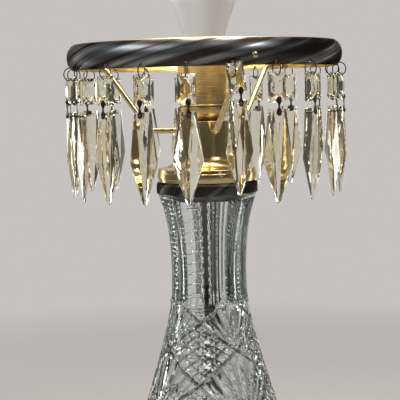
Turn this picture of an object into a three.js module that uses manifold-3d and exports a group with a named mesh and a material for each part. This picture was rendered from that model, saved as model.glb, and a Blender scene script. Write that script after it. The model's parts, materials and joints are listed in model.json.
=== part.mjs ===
// Table lamp of cut glass, with a bronze gallery ring that carries hanging prisms.
// Millimetres, +Z up. The origin is the centre of the foot on the table, and -Y is the front.

import * as THREE from 'three';
import { ConvexGeometry } from 'three/addons/geometries/ConvexGeometry.js';
import { mergeVertices } from 'three/addons/utils/BufferGeometryUtils.js';
import Module from 'manifold-3d';

const wasm = await Module();
wasm.setup();

// Clearance between pieces that rest on, or pass through, each other
const seatGap = 0.3;

// Lamp pipe and its nut
const pipeRadius = 4.85;
const pipeBore = 3.3;
const pipeBottom = 2.4;
const pipeThread = 7;
const nutFlats = 16;
const nutSides = 6;
const nutThickness = 5;

// Foot: felt pad and pressed base plate
const feltThickness = 2;
const feltInset = 6;
const feltHole = 34;
const plateThickness = 1.5;
const plateInset = 4;
const panRadius = 26;
const panSlope = 4;
const panRise = 6.5;

// Glass body, heights measured from its own foot
const glassHeight = 294;
const glassWall = 8;
const footRadius = 90;
const footBandHeight = 17;
const footChamfer = 1.5;
const ringDrop = 95;
const ringHalfHeight = 1.6;
const ringProud = 0.9;
const ringRadius = 33.8;
const waistDrop = 73;
const waistRadius = 32.7;
const rimRadius = 43;
const rimLand = 3;
const neckFlare = 2.5;
const bowlFlare = 1.2;

// Cutting of the glass: a pattern that repeats four times around, in columns. Miters cross on the
// bowl, one family falling to the left and one to the right, and straight miters part the neck's panels.
const cutColumns = 40;
const columnsPerRepeat = 10;
const cutTurn = -4;
const leftMiter = 2;
const rightMiter = 6;
const miterRise = 0.77;
const miterDepth = 2;
const neckRows = 6;
const neckMiters = [0, 3, 7];
const neckMiterDepth = 1.3;
const boreRows = 5;

// Vase cap
const capRadius = 43.9;
const capHeight = 9.6;
const capShoulder = 2.5;
const capThickness = 2.5;
const capShoulderSteps = 3;
const capPlugDepth = 5;
const capPlugWall = 3;

// Husk
const huskHeight = 51.7;
const huskWall = 1.6;
const huskRadius = 25.5;
const huskBellHeight = 24.7;
const huskBellRadius = 39.4;
const huskFootRadius = 43;
const huskFootHeight = 11;
const huskStep = 0.7;
const huskStepHeight = 2.6;
const huskBandHeight = 5.2;

// Arms and the hub that holds them inside the husk. The front arm is bent a little sideways.
const armRadius = 2.4;
const armDrop = 8;
const armReach = 49;
const armShoulder = 88;
const armEnd = 105;
const armBend = 5;
const armSteps = 22;
const armBelowRivet = 6;
const armAzimuths = { front: [10, 19.5], right: [140, 140], left: [-100, -100] };
const hubRadius = 14;
const hubHeight = 11;
const hubWall = 2;
const rivetRadius = 1.5;
const rivetHeadRadius = 2.7;
const rivetHeadHeight = 1.3;

// Gallery ring: a pressed band, bulged outwards, with a flat lip on top for a shade
const galleryRadius = 118;
const galleryWall = 1;
const galleryHeight = 21.9;
const galleryAboveHusk = 44.7;
const galleryBottomInset = 5;
const galleryTopInset = 6;
const galleryFullness = 0.9;
const galleryLip = 5;
const galleryLevels = 5;
const rivetHeight = 7.8;
const galleryColumns = 48;

// Pendants
const pendantCount = 20;
const firstAzimuth = 11;
const hookHeight = 2.8;
const hookHoleRadius = 1.7;
const hookHoleSides = 6;
const hookSlack = 1;
const wireRadius = 0.45;
const wireSides = 4;
const loopRadius = 5.6;
const loopSegments = 12;

// How far each pendant is turned on its own wire, in degrees, in order around the ring
const turns = [20, -8, 6, 17, -13, 21, -6, 10, -19, 4, 15, -12, 8, -17, 13, 18, -22, 9, -5, 24];

// The first pendant has slipped up its loop and hangs with its bead outside the band
const caughtOut = 5.2;
const caughtLift = 7.7;
const caughtTilt = -9;

// Two-hole bead
const beadWidth = 14.5;
const beadHeight = 23.5;
const beadThickness = 7.5;
const beadEdge = 2.4;
const beadTableWidth = 6.8;
const beadTableHeight = 6.4;
const beadPeak = 6;
const beadHoleInset = 2.9;
const pinHoleRadius = 0.8;

// Bow-tie clip
const clipLength = 11.8;
const clipWidth = 4.3;
const clipWaist = 1.4;
const clipSheet = 0.5;
const clipMargin = 0.8;
const clipSpan = 7.6;
const prongRadius = 0.5;
const prongSides = 4;

// Spear prism
const spearLength = 74;
const spearWidth = 25;
const spearThickness = 11;
const spearTopWidth = 14.5;
const spearTopThickness = 6.4;
const spearTopEdge = 3;
const spearFlat = 9;
const spearBelly = 40;
const spearGirdle = 1.2;
const spearHoleInset = 3.5;

// Socket
const socketCapHeight = 11.4;
const socketCapRadius = 21.3;
const socketCapFoot = 11;
const socketWall = 0.9;
const shellHeight = 47;
const shellTopRadius = 23.8;
const shellNeckDepth = 2;
const shellBead = 0.6;
const shellBeadHeight = 3;
const socketBodyRadius = 18.2;
const socketBodyChamfer = 2.5;
const socketBodyFloor = 22;
const screwShellRadius = 14.4;
const screwShellWall = 0.6;
const screwShellDepth = 26;
const contactRadius = 3.5;
const contactHeight = 2.6;

// Bulb
const bulbThreadRadius = 13.1;
const bulbThreadDepth = 0.7;
const bulbThreadPitch = 3.6;
const bulbThreads = 5;
const bulbTipRadius = 4.5;
const bulbTipHeight = 3;
const bulbNeckRadius = 14.2;
const housingHeight = 45.5;
const housingRadius = 27.6;
const housingWaist = 17.5;
const globeRadius = 30;
const globeWall = 1.2;

// Facets around the turned pieces
const rodSides = 8;
const holeSides = 12;
const pipeSides = 16;
const socketSides = 20;
const bellSides = 24;
const capSides = 28;

// Cord bush in the glass foot
const bushBore = 3;
const bushRadius = 4.4;
const bushFlange = 6.4;
const bushFlangeThickness = 1.6;
const bushHeight = 8.5;

// Levels that follow from the sizes above
const plateRadius = footRadius - plateInset;
const feltRadius = plateRadius - feltInset;
const plateBottom = feltThickness + seatGap;
const glassBottom = plateBottom + plateThickness + seatGap;
const ringHeight = glassHeight - ringDrop;
const waistHeight = glassHeight - waistDrop;
const capBottom = glassBottom + glassHeight + seatGap;
const capTop = capBottom + capHeight;
const huskBottom = capTop + seatGap;
const huskTop = huskBottom + huskHeight;
const armLevel = huskTop - armDrop;
const galleryBottom = huskTop + galleryAboveHusk;
const galleryTop = galleryBottom + galleryHeight;
const rivetLevel = galleryBottom + rivetHeight;
const hookLevel = galleryBottom + hookHeight;
const loopLevel = hookLevel - loopRadius;
const socketCapBottom = huskTop + seatGap;
const shellBottom = socketCapBottom + socketCapHeight + seatGap;
const shellTop = shellBottom + shellHeight;
const pipeTop = socketCapBottom + pipeThread;
const socketBodyBottom = pipeTop + seatGap;
const screwShellBottom = socketBodyBottom + socketBodyFloor + seatGap;
const screwShellTop = screwShellBottom + screwShellDepth;
const bulbBottom = screwShellBottom + screwShellWall + contactHeight + seatGap;
const bulbNeckLevel = bulbBottom + bulbTipHeight + bulbThreads * bulbThreadPitch;
const housingBottom = screwShellTop + seatGap;
const housingTop = housingBottom + housingHeight;
const pipeHole = pipeRadius + seatGap;
const armHole = armRadius + seatGap;
const holeSpacing = beadHeight - 2 * beadHoleInset;
const wallRadius = galleryOutside(hookLevel) - galleryWall / 2;
const columnAngle = (2 * Math.PI) / cutColumns;

const materials = {
  glass: { color: 0xdfe6e4, roughness: 0.05, metalness: 0 },
  bronze: { color: 0x2b241f, roughness: 0.42, metalness: 0.9 },
  brass: { color: 0xb08d4a, roughness: 0.3, metalness: 1 },
  steel: { color: 0x8d8f90, roughness: 0.4, metalness: 1 },
  felt: { color: 0x3c4a3a, roughness: 1, metalness: 0 },
  phenolic: { color: 0x26201c, roughness: 0.5, metalness: 0 },
  housing: { color: 0xf1ede6, roughness: 0.45, metalness: 0 },
  lit: { color: 0xfff0cf, roughness: 0.6, metalness: 0 },
};

const lamp = new THREE.Group();

const radians = THREE.MathUtils.degToRad;
const point = (x, y) => new THREE.Vector2(x, y);

function add(name, geometry, finish, parent = lamp) {
  const mesh = new THREE.Mesh(geometry, new THREE.MeshStandardMaterial(materials[finish]));
  mesh.name = name;
  parent.add(mesh);
  return mesh;
}

// A closed mesh with its shared corners merged, as a solid that can be joined and cut
function toSolid(geometry) {
  const bare = geometry.clone();
  bare.deleteAttribute('normal');
  bare.deleteAttribute('uv');
  const merged = mergeVertices(bare, 1e-4);
  const corners = merged.index.array;
  const kept = [];
  for (let i = 0; i < corners.length; i += 3) {
    const [a, b, c] = [corners[i], corners[i + 1], corners[i + 2]];
    if (a !== b && b !== c && c !== a) kept.push(a, b, c);
  }
  return new wasm.Manifold(new wasm.Mesh({
    numProp: 3,
    vertProperties: merged.attributes.position.array,
    triVerts: new Uint32Array(kept),
  }));
}

function toGeometry(solid) {
  const mesh = solid.getMesh();
  const geometry = new THREE.BufferGeometry();
  geometry.setAttribute('position', new THREE.BufferAttribute(mesh.vertProperties, 3));
  geometry.setIndex(new THREE.BufferAttribute(mesh.triVerts, 1));
  geometry.computeVertexNormals();
  return geometry;
}

// A profile of radius and height, turned about the Z axis. Column 0 faces the front.
function turned(profile, columns) {
  return new THREE.LatheGeometry([...profile, profile[0]], columns).rotateX(Math.PI / 2);
}

function tube(bore, radius, bottom, top, columns) {
  return turned([point(bore, bottom), point(radius, bottom), point(radius, top), point(bore, top)], columns);
}

// A round bar along Y, from one place on it to another
function crossBar(radius, from, to, sides) {
  const bar = new THREE.CylinderGeometry(radius, radius, Math.abs(to - from), sides);
  return bar.translate(0, (from + to) / 2, 0);
}

// A place in the lamp at an azimuth in degrees from the front, a radius and a height
function around(azimuth, radius, height) {
  const angle = radians(azimuth);
  return new THREE.Vector3(radius * Math.sin(angle), -radius * Math.cos(angle), height);
}

function glassRadius(height) {
  if (height >= waistHeight) {
    const share = (height - waistHeight) / waistDrop;
    return waistRadius + (rimRadius - waistRadius) * share ** neckFlare;
  }
  if (height >= ringHeight) {
    const share = (waistHeight - height) / (waistHeight - ringHeight);
    return waistRadius + (ringRadius - waistRadius) * share ** 2;
  }
  const share = Math.min(1, (ringHeight - height) / (ringHeight - footBandHeight));
  return ringRadius + (footRadius - ringRadius) * share ** bowlFlare;
}

// Rows of the bowl from the ring down, each as high as its column is wide times the miters' rise
function bowlHeights() {
  const heights = [ringHeight - ringHalfHeight];
  const step = (height) => miterRise * columnAngle * glassRadius(height);
  while (heights.at(-1) - 1.5 * step(heights.at(-1)) > footBandHeight) {
    heights.push(heights.at(-1) - step(heights.at(-1)));
  }
  return heights;
}

function neckHeights() {
  const low = ringHeight + ringHalfHeight;
  const high = glassHeight - rimLand;
  return Array.from({ length: neckRows + 1 }, (_, row) => low + ((high - low) * row) / neckRows);
}

// The outer wall from the foot to the rim: each row has its height, radius and how deep it is cut
function glassRows() {
  const plain = () => 0;
  const repeat = (n) => ((n % columnsPerRepeat) + columnsPerRepeat) % columnsPerRepeat;
  const bowl = bowlHeights().map((height, row) => ({
    height,
    radius: glassRadius(height),
    cut: (column) => {
      const crossed = repeat(column + row) === leftMiter || repeat(column - row) === rightMiter;
      return row > 0 && crossed ? miterDepth : 0;
    },
  }));
  const neck = neckHeights().map((height, row) => ({
    height,
    radius: glassRadius(height),
    cut: (column) => {
      const inside = row > 0 && row < neckRows;
      return inside && neckMiters.includes(repeat(column)) ? neckMiterDepth : 0;
    },
  }));
  return [
    { height: 0, radius: footRadius - footChamfer, cut: plain },
    { height: footChamfer, radius: footRadius, cut: plain },
    { height: footBandHeight, radius: footRadius, cut: plain },
    ...bowl.reverse(),
    { height: ringHeight - ringHalfHeight / 2, radius: ringRadius + ringProud, cut: plain },
    { height: ringHeight + ringHalfHeight / 2, radius: ringRadius + ringProud, cut: plain },
    ...neck,
    { height: glassHeight, radius: glassRadius(glassHeight), cut: plain },
  ];
}

// The bore follows the outside at one wall's distance
function boreProfile() {
  return Array.from({ length: boreRows + 1 }, (_, row) => {
    const height = glassHeight * (1 - row / boreRows);
    return point(glassRadius(height) - glassWall, height);
  });
}

// Quads are split along the miter that crosses them, so each miter stays one straight valley
function glassBlank() {
  const rows = glassRows();
  const outline = rows.map(({ radius, height }) => point(radius, height));
  const profile = [...outline, ...boreProfile()];
  const stride = profile.length + 1;
  const blank = new THREE.LatheGeometry([...profile, profile[0]], cutColumns);
  const position = blank.attributes.position;
  const depth = (column, row) => (row < rows.length ? rows[row].cut(column % cutColumns) : 0);
  const corners = [];
  for (let column = 0; column < cutColumns; column += 1) {
    for (let row = 0; row < stride - 1; row += 1) {
      const a = column * stride + row;
      const b = a + stride;
      const rising = depth(column, row) > 0 && depth(column + 1, row + 1) > 0;
      if (rising) corners.push(a, b, b + 1, a, b + 1, a + 1);
      else corners.push(a, b, a + 1, b + 1, a + 1, b);
    }
  }
  for (let column = 0; column <= cutColumns; column += 1) {
    for (let row = 0; row < rows.length; row += 1) {
      const at = column * stride + row;
      const share = 1 - depth(column, row) / rows[row].radius;
      position.setX(at, position.getX(at) * share);
      position.setZ(at, position.getZ(at) * share);
    }
  }
  blank.setIndex(corners);
  return blank.rotateX(Math.PI / 2);
}

function makeGlassBody() {
  const holeLength = glassWall * 2;
  const hole = crossBar(bushRadius + seatGap, 0, holeLength, holeSides);
  hole.translate(0, footRadius - holeLength / 2 - glassWall / 2, bushHeight);
  const body = toSolid(glassBlank().rotateZ(radians(cutTurn))).subtract(toSolid(hole));
  add('glass_body', toGeometry(body), 'glass').position.z = glassBottom;
}

// A flanged sleeve through the back of the glass foot
function makeCordBush() {
  const inner = footRadius - glassWall;
  const flange = footRadius + seatGap;
  const sleeve = [
    point(bushBore, inner),
    point(bushRadius, inner),
    point(bushRadius, flange),
    point(bushFlange, flange),
    point(bushFlange, flange + bushFlangeThickness),
    point(bushBore, flange + bushFlangeThickness),
  ];
  const bush = add('cord_bush', turned(sleeve, holeSides), 'phenolic');
  bush.rotation.x = -Math.PI / 2;
  bush.position.z = glassBottom + bushHeight;
}

function makeFoot() {
  add('felt_pad', tube(feltHole, feltRadius, 0, feltThickness, bellSides), 'felt');
  const top = plateBottom + plateThickness;
  const pan = [
    point(pipeHole, plateBottom + panRise),
    point(panRadius, plateBottom + panRise),
    point(panRadius + panSlope, plateBottom),
    point(plateRadius, plateBottom),
    point(plateRadius, top),
    point(panRadius + panSlope + plateThickness, top),
    point(panRadius + plateThickness, top + panRise),
    point(pipeHole, top + panRise),
  ];
  add('base_plate', turned(pan, bellSides), 'steel');
}

function makePipe() {
  add('lamp_pipe', tube(pipeBore, pipeRadius, pipeBottom, pipeTop, pipeSides), 'steel');
  const corner = nutFlats / 2 / Math.cos(Math.PI / nutSides);
  const outline = Array.from({ length: nutSides }, (_, side) => {
    const angle = (2 * side * Math.PI) / nutSides;
    return point(corner * Math.cos(angle), corner * Math.sin(angle));
  });
  const shape = new THREE.Shape(outline);
  shape.holes.push(new THREE.Path().absarc(0, 0, pipeHole, 0, 2 * Math.PI, true));
  const nut = new THREE.ExtrudeGeometry(shape, {
    depth: nutThickness,
    bevelEnabled: false,
    curveSegments: pipeSides / 2,
  });
  add('pipe_nut', nut, 'steel').position.z = plateBottom + panRise - seatGap - nutThickness;
}

// The cap covers the rim of the glass, and its plug centres it in the neck
function makeVaseCap() {
  const plugRadius = glassRadius(glassHeight - capPlugDepth) - glassWall - seatGap;
  const plugBore = plugRadius - capPlugWall;
  const shoulder = Array.from({ length: capShoulderSteps + 1 }, (_, step) => {
    const angle = (step / capShoulderSteps) * (Math.PI / 2);
    const inset = capShoulder * (1 - Math.cos(angle));
    return point(capRadius - inset, capTop - capShoulder * (1 - Math.sin(angle)));
  });
  const profile = [
    point(pipeHole, capTop - capThickness),
    point(plugBore, capTop - capThickness),
    point(plugBore, capBottom - capPlugDepth),
    point(plugRadius, capBottom - capPlugDepth),
    point(plugRadius, capBottom),
    point(capRadius, capBottom),
    ...shoulder,
    point(pipeHole, capTop),
  ];
  add('vase_cap', turned(profile, capSides), 'bronze');
}

// Outside and inside of the husk's bell run parallel, one wall apart
function huskBell(inset, steps) {
  const low = huskBottom + huskFootHeight + huskStep;
  const high = huskBottom + huskBellHeight;
  return Array.from({ length: steps + 1 }, (_, step) => {
    const angle = (step / steps) * (Math.PI / 2);
    const radius = huskBellRadius - (huskBellRadius - huskRadius + inset) * Math.sin(angle);
    return point(radius, high - (high - low + inset) * Math.cos(angle));
  });
}

function makeHusk() {
  const stepRadius = huskFootRadius - huskStep;
  const stepLevel = huskBottom + huskStepHeight;
  const upperStep = stepLevel + huskBandHeight;
  const footTop = huskBottom + huskFootHeight;
  const profile = [
    point(stepRadius - huskWall, huskBottom),
    point(stepRadius, huskBottom),
    point(stepRadius, stepLevel),
    point(huskFootRadius, stepLevel),
    point(huskFootRadius, upperStep),
    point(stepRadius, upperStep),
    point(stepRadius, footTop),
    ...huskBell(0, 4),
    point(huskRadius, huskTop),
    point(pipeHole, huskTop),
    point(pipeHole, huskTop - huskWall),
    point(huskRadius - huskWall, huskTop - huskWall),
    ...huskBell(huskWall, 2).reverse(),
  ];
  let husk = toSolid(turned(profile, bellSides));
  for (const [azimuth] of Object.values(armAzimuths)) {
    const hole = crossBar(armHole, -huskRadius - huskWall, -huskRadius + 2 * huskWall, holeSides);
    hole.translate(0, 0, armLevel).rotateZ(radians(azimuth));
    husk = husk.subtract(toSolid(hole));
  }
  add('husk', toGeometry(husk), 'brass');
}

// The hub sits on the pipe and takes the inner end of each arm in a blind hole
function makeArmHub() {
  const low = armLevel - hubHeight / 2;
  let hub = toSolid(tube(pipeHole, hubRadius, low, low + hubHeight, pipeSides));
  for (const [azimuth] of Object.values(armAzimuths)) {
    const hole = crossBar(armHole, -hubRadius - hubWall, -pipeHole - hubWall, holeSides);
    hole.translate(0, 0, armLevel).rotateZ(radians(azimuth));
    hub = hub.subtract(toSolid(hole));
  }
  add('arm_hub', toGeometry(hub), 'brass');
}

// Straight runs joined by rounded bends
function bentPath(places, bend) {
  const path = new THREE.CurvePath();
  let start = places[0];
  for (let i = 1; i < places.length - 1; i += 1) {
    const corner = places[i];
    const into = corner.clone().sub(places[i - 1]).normalize();
    const out = places[i + 1].clone().sub(corner).normalize();
    const enter = corner.clone().addScaledVector(into, -bend);
    const leave = corner.clone().addScaledVector(out, bend);
    path.add(new THREE.LineCurve3(start, enter));
    path.add(new THREE.QuadraticBezierCurve3(enter, corner, leave));
    start = leave;
  }
  path.add(new THREE.LineCurve3(start, places.at(-1)));
  return path;
}

function makeArm(side, [hubAzimuth, ringAzimuth]) {
  const run = rivetLevel - armBelowRivet;
  const seat = galleryOutside(rivetLevel - armRadius) - galleryWall - 2 * seatGap;
  const places = [
    around(hubAzimuth, pipeHole + hubWall + seatGap, armLevel),
    around(hubAzimuth, armReach, armLevel),
    around(ringAzimuth, armShoulder, run),
    around(ringAzimuth, armEnd, run),
    around(ringAzimuth, seat - armRadius, rivetLevel),
  ];
  const section = new THREE.Shape().absarc(0, 0, armRadius, 0, 2 * Math.PI, false);
  const bar = new THREE.ExtrudeGeometry(section, {
    steps: armSteps,
    curveSegments: rodSides / 2,
    extrudePath: bentPath(places, armBend),
  });
  const outside = galleryOutside(rivetLevel) + seatGap;
  const start = -(seat - 2 * armRadius);
  const shank = crossBar(rivetRadius, start, -outside - rivetHeadHeight / 2, rodSides);
  const block = crossBar(armRadius, start, -seat, rodSides);
  const head = new THREE.SphereGeometry(rivetHeadRadius, rodSides, 4, 0, 2 * Math.PI, 0, Math.PI / 2);
  const cap = new ConvexGeometry(cornersOf(head));
  cap.scale(1, rivetHeadHeight / rivetHeadRadius, 1).rotateX(Math.PI).translate(0, -outside, 0);
  let arm = toSolid(bar);
  for (const piece of [shank, block, cap]) {
    piece.translate(0, 0, rivetLevel).rotateZ(radians(ringAzimuth));
    arm = arm.add(toSolid(piece));
  }
  add(`arm_${side}`, toGeometry(arm), 'brass');
}

function cornersOf(geometry) {
  const position = geometry.attributes.position;
  return Array.from({ length: position.count }, (_, i) => {
    return new THREE.Vector3().fromBufferAttribute(position, i);
  });
}

// Radius of the band's outside: an ellipse that is fullest halfway up
function galleryOutside(height) {
  const share = (2 * (height - galleryBottom)) / galleryHeight - 1;
  const inset = share < 0 ? galleryBottomInset : galleryTopInset;
  const fall = (at) => 1 - Math.sqrt(1 - (at * galleryFullness) ** 2);
  return galleryRadius - (inset * fall(share)) / fall(1);
}

function makeGalleryRing() {
  const levels = Array.from({ length: galleryLevels + 1 }, (_, step) => {
    return galleryBottom + (galleryHeight * step) / galleryLevels;
  });
  const outside = levels.map((level) => point(galleryOutside(level), level));
  const underLip = galleryTop - galleryWall;
  const lipRadius = galleryOutside(galleryTop) - galleryLip;
  const inside = levels.slice(0, -1).map((level) => point(galleryOutside(level) - galleryWall, level));
  const profile = [
    ...outside,
    point(lipRadius, galleryTop),
    point(lipRadius, underLip),
    point(galleryOutside(underLip) - galleryWall, underLip),
    ...inside.reverse(),
  ];
  const holeEnd = galleryRadius + galleryWall;
  const holeStart = galleryRadius - galleryBottomInset - 3 * galleryWall;
  const holes = [];
  for (let index = 0; index < pendantCount; index += 1) {
    const hole = crossBar(hookHoleRadius, -holeEnd, -holeStart, hookHoleSides);
    const flat = hookHoleRadius * Math.cos(Math.PI / hookHoleSides);
    const level = hookLevel - wireRadius - hookSlack + flat;
    hole.rotateY(Math.PI / hookHoleSides);
    holes.push(hole.translate(0, 0, level).rotateZ(radians(pendantAzimuth(index))));
  }
  for (const [, azimuth] of Object.values(armAzimuths)) {
    const hole = crossBar(rivetRadius + seatGap, -holeEnd, -holeStart, rodSides);
    holes.push(hole.translate(0, 0, rivetLevel).rotateZ(radians(azimuth)));
  }
  let band = toSolid(turned(profile, galleryColumns));
  for (const hole of holes) band = band.subtract(toSolid(hole));
  add('gallery_ring', toGeometry(band), 'bronze');
}

function makeSocket() {
  const capTopLevel = socketCapBottom + socketCapHeight;
  const cup = (inset, steps) => Array.from({ length: steps + 1 }, (_, step) => {
    const angle = (step / steps) * (Math.PI / 2);
    const radius = socketCapFoot + (socketCapRadius - socketCapFoot) * Math.sin(angle) - inset;
    const rise = socketCapHeight * (1 - Math.cos(angle));
    return point(radius, socketCapBottom + inset + (rise * (socketCapHeight - inset)) / socketCapHeight);
  });
  const cap = [
    point(pipeHole, socketCapBottom),
    ...cup(0, 4),
    ...cup(socketWall, 4).reverse(),
    point(pipeHole, socketCapBottom + socketWall),
  ];
  add('socket_cap', turned(cap, socketSides), 'brass');
  const neckOuter = socketCapRadius - socketWall - 2 * seatGap;
  const neckInner = neckOuter - socketWall;
  const beadTop = shellBottom + 2 * shellBeadHeight;
  const shell = [
    point(neckInner, shellBottom - seatGap - shellNeckDepth),
    point(neckOuter, shellBottom - seatGap - shellNeckDepth),
    point(neckOuter, shellBottom),
    point(socketCapRadius + shellBead, shellBottom),
    point(socketCapRadius + shellBead, shellBottom + shellBeadHeight),
    point(socketCapRadius, shellBottom + shellBeadHeight),
    point(socketCapRadius, beadTop),
    point(shellTopRadius, shellTop - shellBeadHeight),
    point(shellTopRadius + shellBead, shellTop - shellBeadHeight / 2),
    point(shellTopRadius, shellTop),
    point(shellTopRadius - socketWall, shellTop),
    point(shellTopRadius - socketWall, shellTop - shellBeadHeight),
    point(socketCapRadius - socketWall, beadTop),
    point(neckInner, beadTop - shellBeadHeight / 2),
  ];
  add('socket_shell', turned(shell, socketSides), 'brass');
  const cupBore = screwShellRadius + seatGap;
  const floor = socketBodyBottom + socketBodyFloor;
  const body = [
    point(0, socketBodyBottom),
    point(socketBodyRadius - socketBodyChamfer, socketBodyBottom),
    point(socketBodyRadius, socketBodyBottom + socketBodyChamfer),
    point(socketBodyRadius, screwShellTop),
    point(cupBore, screwShellTop),
    point(cupBore, floor),
    point(0, floor),
  ];
  add('socket_body', turned(body, socketSides), 'phenolic');
  const floorHole = contactRadius + 2 * seatGap;
  const screwShell = [
    point(floorHole, screwShellBottom),
    point(screwShellRadius, screwShellBottom),
    point(screwShellRadius, screwShellTop),
    point(screwShellRadius - screwShellWall, screwShellTop),
    point(screwShellRadius - screwShellWall, screwShellBottom + screwShellWall),
    point(floorHole, screwShellBottom + screwShellWall),
  ];
  add('screw_shell', turned(screwShell, socketSides), 'brass');
  const contact = [
    point(0, screwShellBottom),
    point(contactRadius, screwShellBottom),
    point(contactRadius, screwShellBottom + screwShellWall),
    point(contactRadius / 2, screwShellBottom + screwShellWall + contactHeight),
    point(0, screwShellBottom + screwShellWall + contactHeight),
  ];
  add('centre_contact', turned(contact, holeSides), 'brass');
}

function makeBulb() {
  const firstThread = bulbBottom + bulbTipHeight;
  const threads = [];
  for (let turn = 0; turn < bulbThreads; turn += 1) {
    const level = firstThread + turn * bulbThreadPitch;
    threads.push(point(bulbThreadRadius - bulbThreadDepth, level));
    threads.push(point(bulbThreadRadius, level + bulbThreadPitch / 2));
  }
  const base = [
    point(0, bulbBottom),
    point(bulbTipRadius, bulbBottom),
    ...threads,
    point(bulbThreadRadius - bulbThreadDepth, bulbNeckLevel),
    point(bulbThreadRadius - bulbThreadDepth, housingBottom),
    point(bulbNeckRadius, housingBottom),
    point(housingWaist, housingBottom + housingHeight / 3),
    point((housingWaist + housingRadius) / 2, housingTop - housingHeight / 3),
    point(housingRadius, housingTop),
    point(0, housingTop),
  ];
  add('bulb_base', turned(base, socketSides), 'housing');
  const lowest = -Math.acos(housingRadius / globeRadius);
  const dome = (radius, steps) => Array.from({ length: steps + 1 }, (_, step) => {
    const angle = lowest + ((Math.PI / 2 - lowest) * step) / steps;
    return point(step === steps ? 0 : radius * Math.cos(angle), radius * Math.sin(angle));
  });
  const globe = [...dome(globeRadius, 7), ...dome(globeRadius - globeWall, 4).reverse()];
  const centre = housingTop + seatGap - globeRadius * Math.sin(lowest);
  add('bulb_globe', turned(globe, socketSides), 'lit').position.z = centre;
}

function pendantAzimuth(index) {
  return firstAzimuth + (360 * index) / pendantCount;
}

// Half of the bead's or spear's corners, mirrored to the other face
function mirrored(corners) {
  const faces = (y) => (y === 0 ? [0] : [y, -y]);
  return corners.flatMap(([x, y, z]) => faces(y).map((at) => new THREE.Vector3(x, at, z)));
}

// The bead is drawn about its upper hole. Its table ends in a peak towards each end.
function beadBlank() {
  const middle = beadHoleInset - beadHeight / 2;
  const [half, edge, table] = [beadWidth / 2, beadEdge / 2, beadThickness / 2];
  const corners = [];
  for (const end of [-1, 1]) {
    corners.push([0, table, middle + end * beadPeak]);
    for (const side of [-1, 1]) {
      corners.push([side * half, edge, middle + (end * beadHeight) / 2]);
      corners.push([(side * beadTableWidth) / 2, table, middle + (end * beadTableHeight) / 2]);
    }
  }
  const hole = crossBar(pinHoleRadius, -beadThickness, beadThickness, rodSides);
  hole.translate(0, 0, -holeSpacing);
  return toSolid(new ConvexGeometry(mirrored(corners))).subtract(toSolid(hole));
}

// The spear is drawn about its own hole. Its flat narrows to the ridge that runs on to the tip.
function spearBlank() {
  const top = spearHoleInset;
  const belly = top - spearBelly;
  const corners = [
    [0, spearThickness / 2, belly],
    [0, 0, top - spearLength],
  ];
  for (const side of [-1, 1]) {
    corners.push([(side * spearFlat) / 2, spearTopThickness / 2, top]);
    corners.push([(side * spearTopWidth) / 2, spearTopEdge / 2, top]);
    corners.push([(side * spearWidth) / 2, spearGirdle / 2, belly]);
  }
  return toSolid(new ConvexGeometry(mirrored(corners)));
}

// A bow-tie plate in front of the glass, and the two prongs that run from it through both holes
function clipSolid() {
  const [wide, waist, over] = [clipWidth / 2, clipWaist / 2, clipMargin];
  const outline = new THREE.Shape([
    point(-wide, over),
    point(-waist, -clipLength / 2),
    point(-wide, -clipLength - over),
    point(wide, -clipLength - over),
    point(waist, -clipLength / 2),
    point(wide, over),
  ]);
  const plate = new THREE.ExtrudeGeometry(outline, { depth: clipSheet, bevelEnabled: false });
  plate.rotateX(Math.PI / 2).translate(0, (clipSheet - clipSpan) / 2, 0);
  const upperProng = crossBar(prongRadius, -clipSpan / 2, clipSpan / 2, prongSides);
  const lowerProng = upperProng.clone().translate(0, 0, -clipLength);
  return toSolid(plate).add(toSolid(upperProng)).add(toSolid(lowerProng));
}

// Each pendant's frame has its origin at the loop's centre, with -Y pointing away from the lamp
function makePendants() {
  const bead = beadBlank();
  const spear = spearBlank().translate([0, 0, -clipLength]).add(clipSolid());
  const spearGeometry = toGeometry(spear);
  const loop = toSolid(new THREE.TorusGeometry(loopRadius, wireRadius, wireSides, loopSegments).rotateY(Math.PI / 2));
  for (let index = 0; index < pendantCount; index += 1) {
    const caught = index === 0;
    const [turn, tilt] = [radians(turns[index]), caught ? radians(caughtTilt) : 0];
    const [out, lift] = caught ? [caughtOut, caughtLift] : [0, 0];
    const label = String(index + 1).padStart(2, '0');
    const azimuth = pendantAzimuth(index);
    const hanger = new THREE.Group();
    hanger.position.copy(around(azimuth, wallRadius, loopLevel));
    hanger.rotation.z = radians(azimuth);
    lamp.add(hanger);
    const beadPlace = new THREE.Matrix4().makeRotationFromEuler(new THREE.Euler(0, tilt, turn, 'ZYX'));
    beadPlace.setPosition(0, -out, lift - loopRadius);
    const hung = bead.transform(beadPlace.elements).add(loop);
    add(`bead_${label}`, toGeometry(hung), 'glass', hanger);
    const spearMesh = add(`spear_${label}`, spearGeometry, 'glass', hanger);
    spearMesh.position.set(0, 0, -holeSpacing).applyMatrix4(beadPlace);
    spearMesh.rotation.z = turn;
  }
}

makeFoot();
makePipe();
makeGlassBody();
makeCordBush();
makeVaseCap();
makeHusk();
makeArmHub();
for (const [side, azimuths] of Object.entries(armAzimuths)) makeArm(side, azimuths);
makeGalleryRing();
makeSocket();
makeBulb();
makePendants();

export default lamp;
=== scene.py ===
"""Table lamp of cut glass with a bronze gallery ring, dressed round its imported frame.

Everything is in metres, +Z up, with -Y to the front. The CAD frame gives the places and
sizes of all the pieces, and the values named here are only what the frame does not hold.
"""

import json
import math

import bmesh
import bpy
from mathutils import Matrix, Vector


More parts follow.
